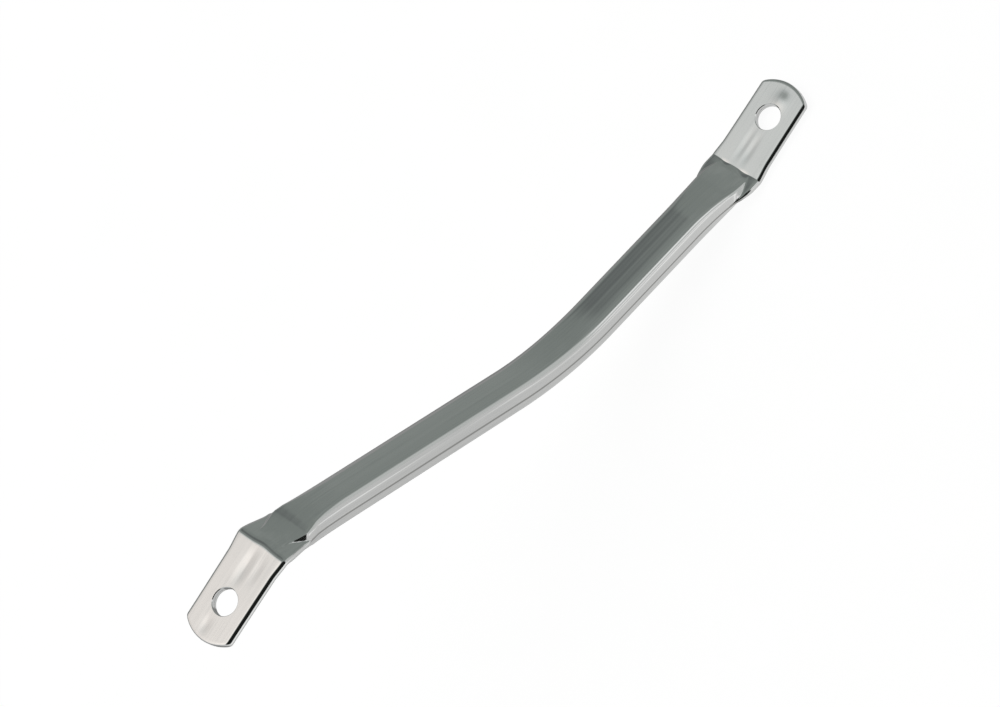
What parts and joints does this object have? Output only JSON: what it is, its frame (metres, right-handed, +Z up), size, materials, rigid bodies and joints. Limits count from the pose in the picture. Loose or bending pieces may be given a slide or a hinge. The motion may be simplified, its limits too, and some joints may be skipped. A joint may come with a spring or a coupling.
{
  "type": "grab rail",
  "caption": "Polished stainless steel grab rail bent from tube, pressed flat at both ends into bolt-on tabs that sit at different heights.",
  "frame": {"origin": "midway between the rail's two ends and midway across its width, level with the low tab's underside", "axes": "+X along the rail towards its low tab, +Y across its width, +Z up, square to both tabs"},
  "size_m": [0.2916, 0.0246, 0.1458],
  "materials": {
    "polished_steel": "polished stainless steel, lightly marked by the press tools"
  },
  "bodies": {
    "root": {"rail_tube": "polished_steel"}
  },
  "joints": []
}
